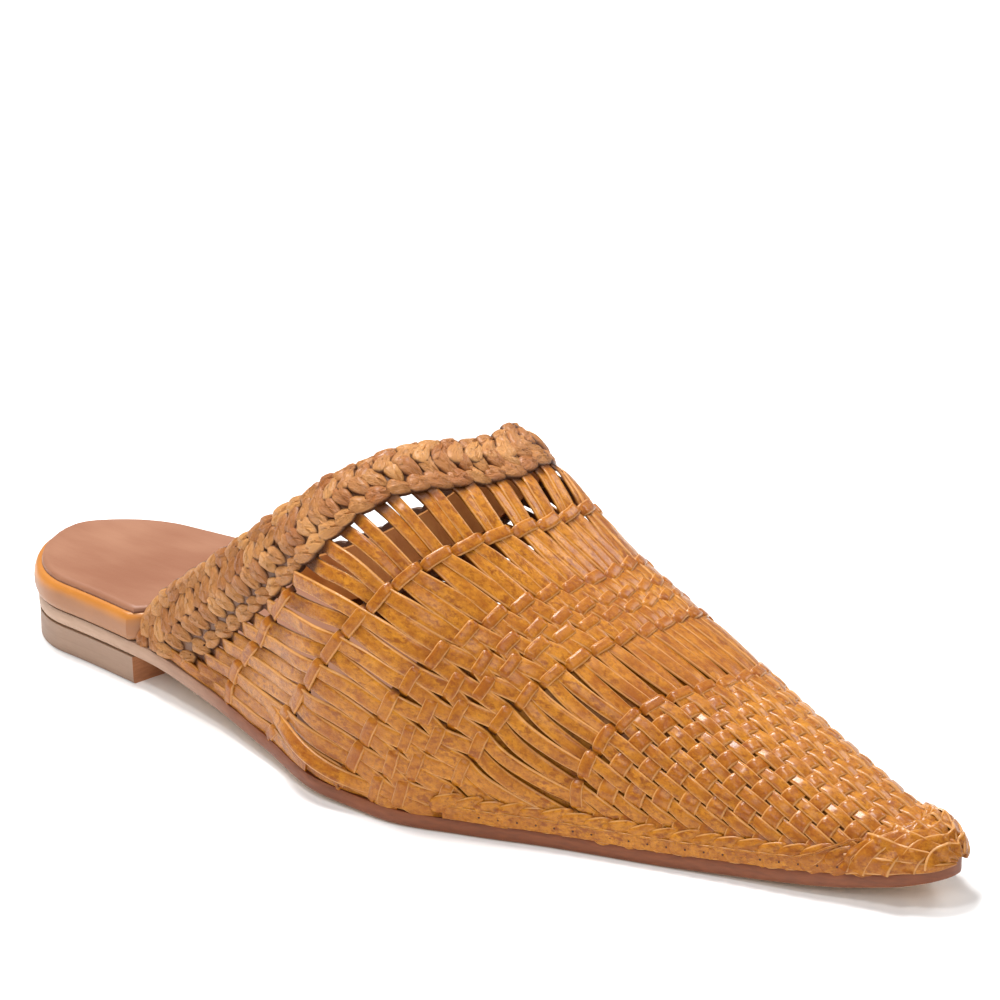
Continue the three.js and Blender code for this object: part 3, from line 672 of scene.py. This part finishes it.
STRIP_BACK, STRIP_TIP, STRIP_STEP, STRIP_MARGIN, NARROWEST = 56.0, 265.6, 1.1, 1.2, 12.0
weave = Cut()
for k in range(-2, STRIPS + 2):
    x = np.arange(STRIP_BACK, STRIP_TIP, STRIP_STEP)
    share = np.full(len(x), 0.5)
    for _ in range(9):
        row = row_near(x, share)
        share = np.clip(0.5 * share + 0.5 * strip_share(k, row), -0.06, 1.06)
    wander = np.interp(x, np.linspace(56, 266, 14), weave_luck.normal(0, 0.14, 14))
    girth = np.interp(x, LAST_X, GIRTH)
    share = share + wander / girth
    row = row_near(x, share)
    held = np.minimum(share, 1 - share) * girth > STRIP_MARGIN
    held = held & (row > -0.45) & (girth > NARROWEST)
    if held.sum() < 8:
        continue
    first, last = np.flatnonzero(held)[[0, -1]]
    inside = slice(max(0, first - 3), last + 6)
    x, row, girth = x[inside], row[inside], girth[inside]
    share = np.clip(share[inside], 0.003, 0.997)
    lift = strip_heights(k, row)
    lift = lift + np.interp(x, np.linspace(56, 266, 10), weave_luck.normal(0, 0.04, 10))
    even = 1 if k % 2 == 0 else -1
    draw = ease((1.5 - row) / 0.3) + ease((row - 6.1) / 0.2) * ease((7.0 - row) / 0.2)
    lapped = 0.16 * even * draw
    roll = np.radians(7) * draw * even + np.radians(1.5) * weave_luck.normal()
    side = float(ease((16 - min(k, STRIPS - 1 - k)) / 8))
    width = (follow(STRIP_WIDTHS, WIDTH_NAMES, "side", row) * side
             + follow(STRIP_WIDTHS, WIDTH_NAMES, "middle", row) * (1 - side))
    room = 1.03 + 0.15 * ease((6.2 - row) / 0.3) * ease((row - 1.4) / 0.3)
    room = room * follow(PITCH, PITCH_NAMES, "share", row) * girth
    width = np.minimum(width, room) * (1 + 0.03 * weave_luck.normal())
    own_reading = (x, np.full(len(x), weave_luck.random()))
    ribbon(weave, x, share, lift + lapped, width, STRIP_THICKNESS, own_reading, roll)

wraps = Cut()
for row, odd, slant, width in TWINED:
    for pair in range(-1, STRIPS // 2 + 1):
        middle_k = 2 * pair + 0.5 + odd
        centre = 0.5
        for _ in range(12):
            near_row = row
            if row <= 0:
                x = np.nan_to_num(twined_place(row, centre), nan=110.0)
                near_row = float(row_near(x, centre))
            both = strip_share(middle_k - 0.5, near_row) + strip_share(middle_k + 0.5, near_row)
            centre = 0.5 * centre + 0.5 * float(both / 2)
        if not 0.0 < centre < 1.0:
            continue
        pitch = float(follow(PITCH, PITCH_NAMES, "share", max(row, 0.3)))
        t = np.linspace(-1, 1, 17)
        share = np.clip(centre + t * pitch * 1.27, 0.003, 0.997)
        x = twined_place(row, share)
        if not np.isfinite(x).all():
            continue
        x = (x - slant * t * 0.5 + 0.15 * weave_luck.normal()
             + 0.12 * np.sin(3 * t + weave_luck.random() * 6))
        lift = 0.54 - 1.35 * ease((np.abs(t) - 0.5) / 0.5) + 0.06 * weave_luck.normal()
        narrowed = 1 - 0.22 * ease((np.abs(t) - 0.5) / 0.5)
        breadth = width * (1 + 0.05 * weave_luck.normal()) * narrowed
        ribbon(wraps, x, share, lift, breadth, WRAP_THICKNESS,
               (t * 4 + pair * 9, np.full(17, 2 + weave_luck.random())), crown=0.2)

for n, row in enumerate(PLAIN):
    before = PLAIN[n - 1] if n else TWINED[-1][0]
    after = PLAIN[n + 1] if n + 1 < len(PLAIN) else TIP_ROW
    share = np.linspace(0.004, 0.996, 200)
    x = row_place(row, share)
    k = np.arange(-12, STRIPS + 12).astype(float)
    at = strip_share(k, row)
    girth = np.interp(x, LAST_X, GIRTH)
    lift = smooth_between(share, at, np.where((k + n) % 2 == 0, 1, -1) * WEAVE_DEPTH)
    slope = np.gradient(x, share) / girth
    spacing = (row_place(after, share) - row_place(before, share)) / 2 / np.sqrt(1 + slope**2)
    width = np.clip(spacing * 0.80, 1.6, 4.6) * (1 - 0.10 * ease(-lift / WEAVE_DEPTH))
    ribbon(wraps, x, share, lift, width, STRIP_THICKNESS * 0.85,
           (share * 150, np.full(len(x), 2 + weave_luck.random())), crown=0.14)

# Strips along the sole's edge tuck in the ends of the others, and one strip bows out, loose
for side in (-1, 1):
    x = np.arange(58.0, 166.0, 1.2)
    share = (1.5 + 0.25 * np.sin(x * 0.23)) / np.interp(x, LAST_X, GIRTH)
    ribbon(weave, x, share if side < 0 else 1 - share, -0.05 + 0.15 * np.sin(x * 0.31), 3.2,
           STRIP_THICKNESS, (x, np.full(len(x), 0.4 + 0.1 * side)), crown=0.15, tuck_shade=0.12)
x = np.linspace(101.0, 139.0, 44)
bow = np.sin(np.linspace(0, math.pi, 44))
share = (8.0 - 4.9 * ease((x - 101) / 30)) / np.interp(x, LAST_X, GIRTH)
ribbon(weave, x, share, 0.1 + 2.3 * bow**1.3, 3.5, STRIP_THICKNESS, (x, np.full(len(x), 0.62)),
       roll=-0.55 * bow, crown=0.15)

# A thin lining backs the weave in front of the open rows, and the whole inner side. Its depth of
# 0.6 darkens it with painted shade where it shows through the gaps
LINING_FACE, LINING_BACK = 0.9, 1.25
lining_rows = np.concatenate([np.linspace(1.9, 7.0, 26), np.linspace(7.3, 18.2, 22)])
inner_rows = np.concatenate([np.linspace(1.05, 1.8, 6), lining_rows])
for start, end, rows in ((0.01, 0.60, lining_rows), (0.60, 0.99, inner_rows)):
    share = np.linspace(start, end, 34)
    rings = []
    for row in rows:
        x = row_place(row, share)
        point, out = on_last(x, share)
        rings.append(np.concatenate([point - out * LINING_FACE, (point - out * LINING_BACK)[::-1]]))
    weave.rings(rings, np.full((len(rings), 68, 3), 0.5), np.full((len(rings), 68), 0.6))

weave_finish, strip, place = new_finish("woven_leather")
reading = strip.node("ShaderNodeAttribute", {"attribute_name": "reading"}, out=1)
along_strip, across_strip, luck = reading.axis(0), reading.axis(1), reading.axis(2)
edge = strip.maths("ABSOLUTE", across_strip).over(0.76, 0.9)
own_place = strip.node("ShaderNodeCombineXYZ", {}, {
    0: along_strip * 0.02, 1: across_strip * 0.08, 2: luck * 7.0})
shade_depth = strip.node("ShaderNodeAttribute", {"attribute_name": "depth"}, out=2)
streaks = strip.noise(own_place, 14.0, 4.0, 0.6)
patches = strip.noise(place, 42.0, 3.0)
burns = strip.noise(place, 210.0, 5.0, 0.68)
brushed = strip.noise(place.stretched(1, 2.2, 2.2), 320.0, 4.0, 0.7)
creases = strip.noise(own_place, 60.0, 5.0, 0.65, 0.4)
grain = strip.noise(place, 1100.0, 3.0, 0.7)
tone = streaks * 0.35 + patches * 0.25 + burns * 0.4
golden = tone.over(0.36, 0.64).tint(colour(152, 80, 4), colour(210, 138, 32))
burnt = (burns * 0.35 + streaks * 0.2 + brushed * 0.45).over(0.48, 0.60) * 0.8
golden = burnt.tint(golden, colour(126, 54, 1))
golden = (grain.over(0.5, 0.66) * 0.36).tint(golden, colour(122, 58, 2))
cross_strip = luck.over(1.4, 1.6) * 0.28
golden = cross_strip.tint(golden, colour(146, 70, 2))
golden = (edge * shade_depth.over(0.7, 0.3) * 0.7).tint(golden, colour(214, 158, 96))
# Painted shade: dark brown where strips lie under others, on their undersides and on the lining
# behind the gaps
shade = (shade_depth.over(0.40, 0.85) * 0.9).tint(golden, colour(58, 24, 5))
settle(strip, shade, creases * 0.3 + 0.20,
       creases * 0.5 + brushed * 0.35 + burns * 0.3 + grain * 0.15,
       shade_depth.over(0.62, 0.4) * 0.42, 0.2, 0.7, 0.0005, 0.16)
upper_piece = weave.piece("woven_upper", weave_finish, 60)
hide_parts("upper")
wrap_piece = wraps.piece("cross_strips", weave_finish, 60)
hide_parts("upper")


# Topline braid: a thick flat plait worked along the edge of the opening. Four rows of folded lobes
# lie side by side, small round knots at the back and larger paired knots at the front, each pulled
# down by a stitch that leaves a pinhole.
braid_share = np.linspace(0.002, 0.998, 240)
braid_middle = on_last(row_place(-0.5, braid_share), braid_share)[0]
braid_steps = np.linalg.norm(np.diff(braid_middle, axis=0), axis=1)
braid_length = np.concatenate([[0], np.cumsum(braid_steps)])
BRAID_SINK, BRAID_BACK = 0.75, 2.6


def in_braid(u, v):
    """Point and outward direction in the braid, u in mm along it, v from back to front."""
    u, v = np.broadcast_arrays(np.asarray(u, float), np.asarray(v, float))
    share = np.interp(u, braid_length, braid_share)
    return on_last(row_place(v - 1, share), share)


def crown_of_braid(v):
    """Height of the braid's rounded face over the last."""
    return -1.5 + 2.2 * np.clip(1 - np.abs(2 * np.asarray(v) - 1) ** 2.8, 0, 1) ** 0.5


LOBE_SIDES, LOBE_LEVELS, LOBE_SQUARE = 16, 5, 0.9


def lobe(cut, centre, out, run, length, width, height, turn, luck, droop, base_shade):
    """A folded lobe of leather: a leaf with a full face and a rounded back, lying at an angle."""
    side = np.cross(out, run)
    direction = run * math.cos(turn) + side * math.sin(turn)
    beside = np.cross(out, direction)
    rings, reads, shade_depth = [], [], []
    for level in range(LOBE_LEVELS + 1):
        polar = -0.5 + (math.pi / 2 + 0.44) * level / LOBE_LEVELS
        radius, high = math.cos(polar) ** 0.62, math.sin(polar)
        ring, read = [], []
        for i in range(LOBE_SIDES):
            angle = 2 * math.pi * i / LOBE_SIDES
            c, s = math.cos(angle), math.sin(angle)
            c = math.copysign(abs(c) ** LOBE_SQUARE, c)
            s = math.copysign(abs(s) ** LOBE_SQUARE, s)
            taper = 1 - 0.34 * c
            along, across = c * radius * length / 2, s * radius * width / 2 * taper
            fold = 0.2 * height * math.cos(6.5 * s + luck * 6) * (1 if level >= 3 else 0)
            lean = -droop * c * radius
            rise = high * height + lean + fold
            ring.append(centre + direction * along + beside * across + out * rise)
            read.append((along + luck * 40, s * radius, luck))
        rings.append(ring)
        reads.append(read)
        # Painted shade, darkest at the lobe's foot
        shade_depth.append([base_shade * max(0.0, 1 - 1.15 * max(high, 0.0))] * LOBE_SIDES)
    cut.rings(rings, reads, shade_depth)


braid = Cut()
pins = Cut()
braid_luck = np.random.default_rng(5)
base_u = np.linspace(0.3, braid_length[-1] - 0.3, 150)
base_rings = []
for u in base_u:
    ring = []
    for v in (0.03, 0.12, 0.3, 0.5, 0.7, 0.88, 0.97):
        point, out = in_braid(u, v)
        ring.append(point + out * (crown_of_braid(v) - BRAID_SINK))
    for v in (0.93, 0.7, 0.5, 0.3, 0.07):
        point, out = in_braid(u, v)
        ring.append(point - out * BRAID_BACK)
    base_rings.append(ring)
# Painted shade in the crevices between the lobes, on the base's front face
crevice_shade = np.tile([0.62] * 7 + [0.15] * 5, (len(base_rings), 1))
braid.rings(base_rings, np.full((len(base_rings), 12, 3), 0.3), crevice_shade)


def pinhole(point, out, run, size):
    """A small dark disc for a stitch hole, its colour painted shade of the hole."""
    side = np.cross(out, run)
    turns = np.linspace(0, 2 * math.pi, 9)[:-1]
    ring = [point + run * math.cos(a) * size + side * math.sin(a) * size for a in turns]
    pins.rings([[p - out * 0.35 for p in ring], [p + out * 0.06 for p in ring]])


BRAID_LOBES = (
    # back, pitch, length, width, height, turn in degrees, start, pinhole
    (0.08, 4.9, 6.4, 4.6, 1.35, 14, 0.0, True),
    (0.34, 4.4, 7.8, 4.2, 1.30, 62, 2.0, False),
    (0.64, 4.4, 7.8, 4.2, 1.25, -58, 0.4, False),
    (0.92, 5.4, 6.9, 4.6, 1.50, -14, 2.3, True),
)
for v, pitch, length, width, height, turn, start, pinned in BRAID_LOBES:
    for i, u in enumerate(np.arange(start + 1.5, braid_length[-1] - 1.2, pitch)):
        u = u + braid_luck.normal(0, 0.22)
        point, out = in_braid(u, v)
        ahead = in_braid(u + 0.8, v)[0] - in_braid(u - 0.8, v)[0]
        run = ahead / np.linalg.norm(ahead)
        size = 1 + braid_luck.normal(0, 0.07)
        paired = 1.16 if i % 2 and pinned else 0.96
        angle = math.radians(turn * (1.6 if i % 2 and pinned else 1) + braid_luck.normal(0, 6))
        face = crown_of_braid(v) - BRAID_SINK + braid_luck.normal(0, 0.08)
        lobe(braid, point + out * face, out, run, length * size * paired, width * size, height,
             angle, braid_luck.random(), droop=0.3 if pinned else 0.6, base_shade=1.0)
        if pinned and braid_luck.random() < 0.8:
            place_of_pin = in_braid(u + 1.6, v)[0]
            pinhole(place_of_pin + out * (face + height * 0.70), out, run, 0.2)

braid_finish, plait, place = new_finish("braided_leather")
reading = plait.node("ShaderNodeAttribute", {"attribute_name": "reading"}, out=1)
luck = reading.axis(2)
shade_depth = plait.node("ShaderNodeAttribute", {"attribute_name": "depth"}, out=2)
cloud = plait.noise(place, 120.0, 4.0)
creases = plait.noise(reading.stretched(0.35, 3.2, 1), 1.6, 5.0, 0.65)
fine = plait.noise(place, 1400.0, 2.0)
tone = cloud * 0.5 + luck * 0.25 + creases * 0.25
matt_tan = tone.over(0.28, 0.70).tint(colour(166, 96, 36), colour(214, 150, 82))
matt_tan = (creases.over(0.55, 0.75) * 0.45).tint(matt_tan, colour(146, 82, 34))
# Painted shade: dark brown at the lobes' feet and in the crevices between them
matt_tan = (shade_depth.over(0.2, 0.75) * 0.92).tint(matt_tan, colour(66, 30, 8))
settle(plait, matt_tan, creases * 0.2 + 0.34, creases * 0.9 + fine * 0.12, 0.22, 0.3, 1.0, 0.001)
braid_piece = braid.piece("topline_braid", braid_finish, 60)
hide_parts("topline_braid")

hole_finish, hole, place = new_finish("stitch_holes")
# Painted shade: the dark colour stands for the shade inside the holes
hole_shade = hole.noise(place, 900.0).tint(colour(52, 28, 14), colour(84, 46, 24))
settle(hole, hole_shade, 0.9, hole.noise(place, 2000.0))


# Toe rand: a narrow plait stitched along the edge between upper and sole from the ball forwards.
# It widens at the toe into a patch of broad bands woven one by one, with a rolled upper edge.
RAND_START = 157.0
RAND_NAMES = ("at", "high")
RAND_EDGE = ((0.50, 5.4), (0.88, 5.4), (0.91, 4.4), (1.02, 3.4))
RAND_SECTION = (
    # share of its height, mm out from the last
    (0.0, 0.1), (0.0, 1.0), (0.25, 1.15), (0.5, 1.15), (0.8, 1.1), (0.96, 0.8), (1.0, 0.1),
)
RAND_FACE = 0.75


def rand_point(x, side, up):
    """Point on the rand: side -1 outer, 1 inner, up from the sole's edge in mm along the wall."""
    girth = np.interp(x, LAST_X, GIRTH)
    share = np.clip(up / girth, 0, 0.5)
    return on_last(x, share if side < 0 else 1 - share)


rand = Cut()
for side in (-1, 1):
    x = np.concatenate([np.arange(RAND_START, 250, 2.0), np.linspace(250.5, 266.6, 24)])
    high = follow(RAND_EDGE, RAND_NAMES, "high", x / LENGTH)
    rings = []
    for xi, top in zip(x, high):
        ring = []
        for up, out_by in RAND_SECTION:
            point, out = rand_point(xi, side, min(top, np.interp(xi, LAST_X, GIRTH) / 2) * up)
            ring.append(point + out * out_by)
        rings.append(ring)
    rand.rings(rings, np.full((len(rings), 7, 3), 0.4))

rand_luck = np.random.default_rng(21)


def rand_lobes(side, start, end, pitch, up, length, width, height, turn, pinned):
    """One row of lobes along the rand."""
    x = start
    while x < end:
        point, out = rand_point(x, side, up(x))
        ahead = rand_point(x + 0.6, side, up(x))[0] - rand_point(x - 0.6, side, up(x))[0]
        run = ahead / np.linalg.norm(ahead)
        angle = math.radians(turn * -side + rand_luck.normal(0, 5))
        size = 1 + rand_luck.normal(0, 0.06)
        lobe(rand, point + out * RAND_FACE, out, run, length * size, width * size, height, angle,
             rand_luck.random(), droop=0.3, base_shade=0.6)
        if pinned:
            pinhole(point + out * (RAND_FACE + height * 0.82) + run * 1.2, out, run, 0.25)
        step = np.linalg.norm(rand_point(x + 1, side, up(x))[0] - point)
        x += pitch / max(step, 0.6)


for side in (-1, 1):
    rand_lobes(side, RAND_START + 1, 247, 5.2, lambda x: 4.2, 8.4, 3.8, 0.5, 22, False)
    rand_lobes(side, RAND_START + 3, 249, 4.5, lambda x: 1.6, 5.4, 3.6, 0.5, -10, True)
    x = np.arange(RAND_START + 2, 251, 1.2)
    thread = 3.2 + 4.5 * ease((x - 236) / 15) + 0.12 * np.sin(x * 1.4)
    thread = thread / np.interp(x, LAST_X, GIRTH)
    ribbon(rand, x, thread if side < 0 else 1 - thread, 1.45 + 0.25 * np.sin(x * 1.4), 0.5, 0.4,
           (x, np.full(len(x), 0.2)), crown=0.1)

# Toe patch: broad bands woven one by one over the rounded tip, under a rolled edge
PATCH_BANDS, PATCH_TIP = 9, 266.8
PATCH_LEVELS = (0.16, 0.42, 0.67, 0.88)
PATCH_SIDE, PATCH_CLIMB, PATCH_THICKNESS, PATCH_OVER, PATCH_UNDER = 247.5, 11.0, 0.7, 0.42, -0.4


def patch_edge(share):
    """Place along the shoe of the patch's upper edge."""
    return PATCH_SIDE + PATCH_CLIMB * np.maximum(np.sin(math.pi * share), 0) ** 1.6


def on_patch(level, share):
    """Point of the bulging patch, level 0 at its rolled edge and 1 at the tip, and the way out."""
    level, share = np.broadcast_arrays(np.asarray(level, float), np.asarray(share, float))
    x = patch_edge(share) + (PATCH_TIP - patch_edge(share)) * level
    point = on_last(x, share)[0]
    heart = np.stack([np.minimum(x - 2, 258.0), np.full(x.shape, 1.5), sole_top(x) + 0.6], -1)
    out = point - heart
    out /= np.linalg.norm(out, axis=-1, keepdims=True)
    return point + out * (1.0 + 1.1 * ease(level / 0.2))[..., None], out


levels, share = np.meshgrid(np.linspace(0, 1, 24), np.linspace(0.004, 0.996, 48), indexing="ij")
face, out = on_patch(levels, share)
# The backing under the bands carries light painted shade
rand.rings(np.concatenate([face - out * 0.2, (face - out * 1.0)[:, ::-1]], axis=1),
           np.full((24, 96, 3), 0.4), np.full((24, 96), 0.5))
for n, level in enumerate(PATCH_LEVELS):
    share = np.linspace(0.025, 0.975, 90)
    knots = (np.arange(-1, PATCH_BANDS + 1) + 0.5) / PATCH_BANDS
    over = np.where((np.arange(len(knots)) + n) % 2 == 0, PATCH_OVER, PATCH_UNDER)
    lift = 0.2 + smooth_between(share, knots, over)
    apart = on_patch(level + 0.11, share)[0] - on_patch(level - 0.11, share)[0]
    width = np.clip(np.linalg.norm(apart, axis=1), 1.4, 4.6)
    ribbon(rand, level + 0.015 * np.sin(share * 9 + n), share, lift, width, PATCH_THICKNESS,
           (share * 40, np.full(len(share), rand_luck.random())), crown=0.2, tuck_shade=-0.1,
           surface=on_patch)
for j in range(PATCH_BANDS):
    middle = (j + 0.5) / PATCH_BANDS
    level = np.linspace(0.0, 1.0, 40)
    knots = np.array((-0.1,) + PATCH_LEVELS + (1.1,))
    over = np.where((np.arange(len(knots)) + j) % 2 == 0, PATCH_OVER, PATCH_UNDER)
    lift = 0.15 + smooth_between(level, knots, over)
    half = 0.4 / PATCH_BANDS
    apart = on_patch(level, middle + half)[0] - on_patch(level, middle - half)[0]
    width = np.linalg.norm(apart, axis=1) * 1.12
    ribbon(rand, level, middle + 0.012 * np.sin(level * 5 + j), lift, width, PATCH_THICKNESS,
           (level * 18, np.full(len(level), rand_luck.random())), crown=0.2, tuck_shade=-0.1,
           surface=on_patch)

# Rolled edge of the patch, wrinkled where it is drawn together
share = np.linspace(0.03, 0.97, 120)
rolled = 0.35 + 0.25 * np.sin(share * 75) + 0.15 * np.sin(share * 31 + 1)
ribbon(rand, 0.02 * np.sin(share * 40), share, rolled, 2.0 + 0.3 * np.sin(share * 53), 1.5,
       (share * 60, np.full(len(share), 0.15)), crown=0.5, surface=on_patch)

rand_piece = rand.piece("toe_rand", weave_finish, 60)
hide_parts("toe_rand")
pins.piece("stitch_holes", hole_finish, 40)


# Floor and soft studio light, and the camera at the photograph's angle.
floor_mesh = bpy.data.meshes.new("floor")
FLOOR_HALF = 6
corners = [(x * FLOOR_HALF, y * FLOOR_HALF, 0) for x, y in ((-1, -1), (1, -1), (1, 1), (-1, 1))]
floor_mesh.from_pydata(corners, [], [(0, 1, 2, 3)])
floor = bpy.data.objects.new("floor", floor_mesh)
bpy.context.collection.objects.link(floor)
floor_finish, paper, place = new_finish("floor_paper")
settle(paper, paper.noise(place, 3.0).tint(colour(250, 250, 250), colour(253, 253, 253)), 0.9,
       paper.noise(place, 400.0), strength=0.02, specular=0.1)
floor_mesh.materials.append(floor_finish)


def lamp(name, place, size, power, aim=(0, 0, 0.02)):
    """A large soft lamp aimed at the shoe."""
    data = bpy.data.lights.new(name, "AREA")
    data.shape, data.size, data.energy = "DISK", size, power
    obj = bpy.data.objects.new(name, data)
    bpy.context.collection.objects.link(obj)
    obj.location = place
    direction = np.array(aim) - np.array(place)
    obj.rotation_euler = Vector(direction).to_track_quat("-Z", "Y").to_euler()


lamp("key", (-0.32, 0.08, 1.05), 0.36, 12.5)
lamp("camera side", (0.45, -1.0, 0.9), 0.6, 3.5)
lamp("sheen", (-0.06, -0.40, 1.0), 0.2, 3)
lamp("back", (0.3, 0.9, 0.8), 0.5, 4)

world = bpy.data.worlds.new("studio")
bpy.context.scene.world = world
world.use_nodes = True
world.node_tree.nodes["Background"].inputs[0].default_value = (1, 1, 1, 1)
world.node_tree.nodes["Background"].inputs[1].default_value = 0.4

AZIMUTH, ELEVATION, DISTANCE = math.radians(39.5), math.radians(22.5), 1320.0
AIM, AIM_RIGHT, AIM_UP = np.array([134.0, 0, 30]), 3.0, 29.7
back = np.array([math.sin(AZIMUTH) * math.cos(ELEVATION),
                 -math.cos(AZIMUTH) * math.cos(ELEVATION), math.sin(ELEVATION)])
right = np.array([math.cos(AZIMUTH), math.sin(AZIMUTH), 0])
upward = np.cross(back, right)
stand = AIM + right * AIM_RIGHT + upward * AIM_UP + back * DISTANCE
camera_data = bpy.data.cameras.new("camera")
camera = bpy.data.objects.new("camera", camera_data)
bpy.context.collection.objects.link(camera)
camera.location = (stand - ORIGIN) / 1000
camera.rotation_euler = (math.pi / 2 - ELEVATION, 0, AZIMUTH)
camera_data.sensor_width, camera_data.lens = 36.0, 202.8
camera_data.clip_start, camera_data.clip_end = 0.05, 50
bpy.context.scene.camera = camera
bpy.context.scene.view_settings.view_transform = "Standard"
